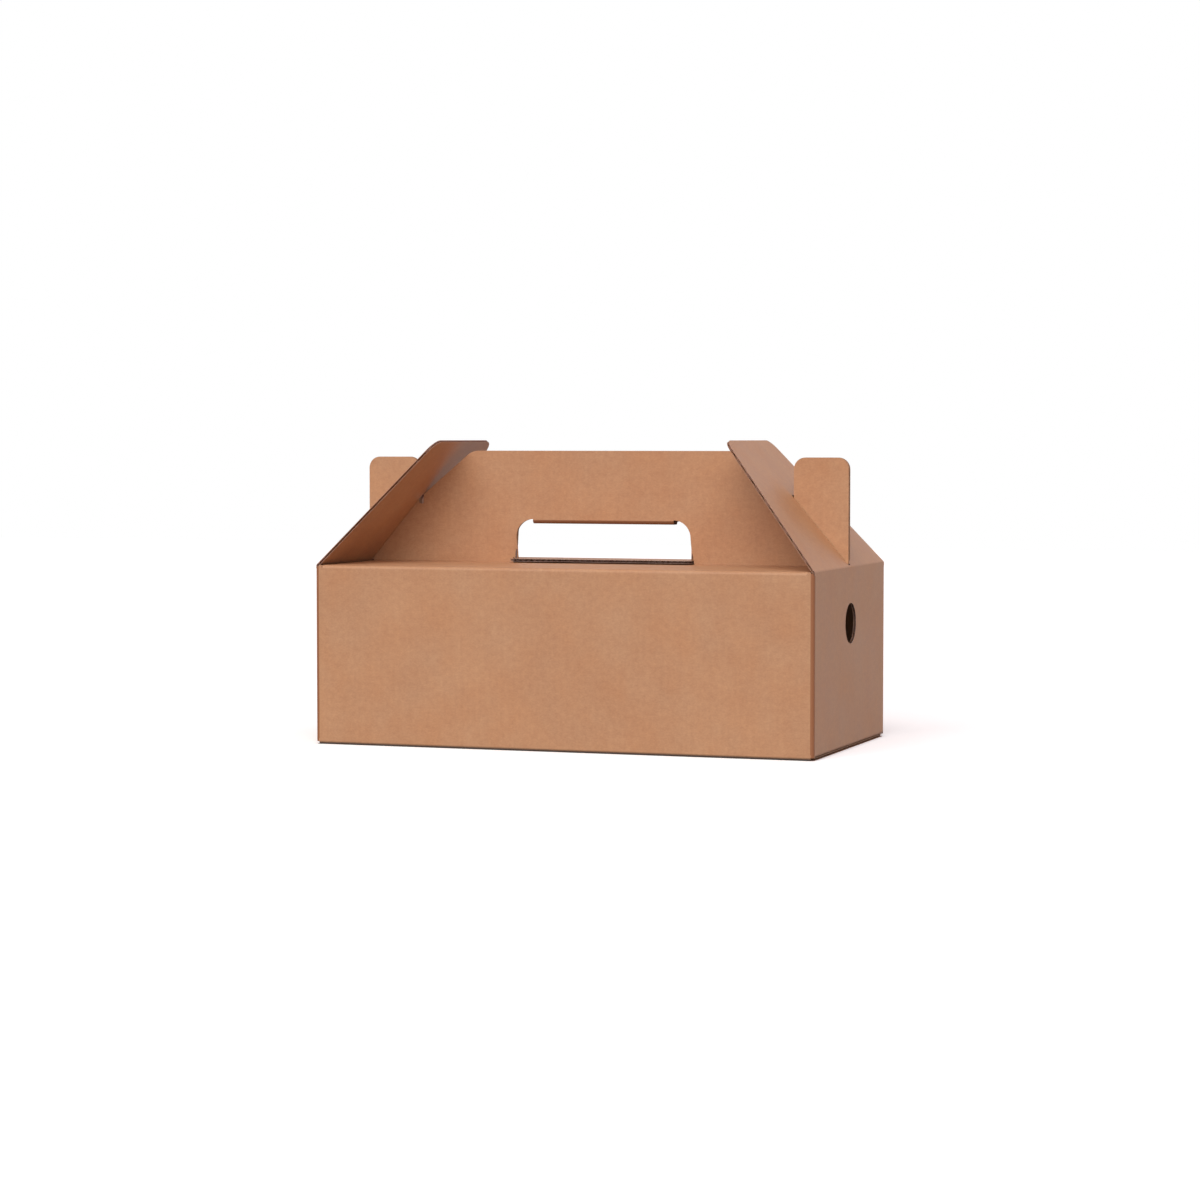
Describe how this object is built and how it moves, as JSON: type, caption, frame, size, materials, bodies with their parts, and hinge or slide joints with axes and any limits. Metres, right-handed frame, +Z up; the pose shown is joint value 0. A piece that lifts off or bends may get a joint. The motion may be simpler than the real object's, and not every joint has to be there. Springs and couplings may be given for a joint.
{
  "type": "gable-topped carry box",
  "caption": "Kraft corrugated carry box folded from one sheet, with an upright handle with a hand hole and sloping end flaps locked over it.",
  "frame": {"origin": "on the table, under the middle of the box", "axes": "+X along the box to its right end, +Y from the front to the rear, +Z up"},
  "size_m": [0.288, 0.15, 0.1694],
  "materials": {
    "kraft_board": "matt natural kraft liner over fine flutes"
  },
  "bodies": {
    "box": {"folded_box": "kraft_board", "left_front_ear": "kraft_board", "left_rear_ear": "kraft_board", "right_front_ear": "kraft_board", "right_rear_ear": "kraft_board"},
    "left_flap": {"left_end_flap": "kraft_board"},
    "right_flap": {"right_end_flap": "kraft_board"}
  },
  "joints": [
    {"name": "left_flap_hinge", "type": "hinge", "parent": "box", "child": "left_flap", "pos_m": [-0.144, 0, 0.1], "axis": [0, -1, 0], "range_deg": [0, 200], "deforming": ["left_front_ear", "left_rear_ear"]},
    {"name": "right_flap_hinge", "type": "hinge", "parent": "box", "child": "right_flap", "pos_m": [0.144, 0, 0.1], "axis": [0, 1, 0], "range_deg": [0, 200], "deforming": ["right_front_ear", "right_rear_ear"]}
  ]
}
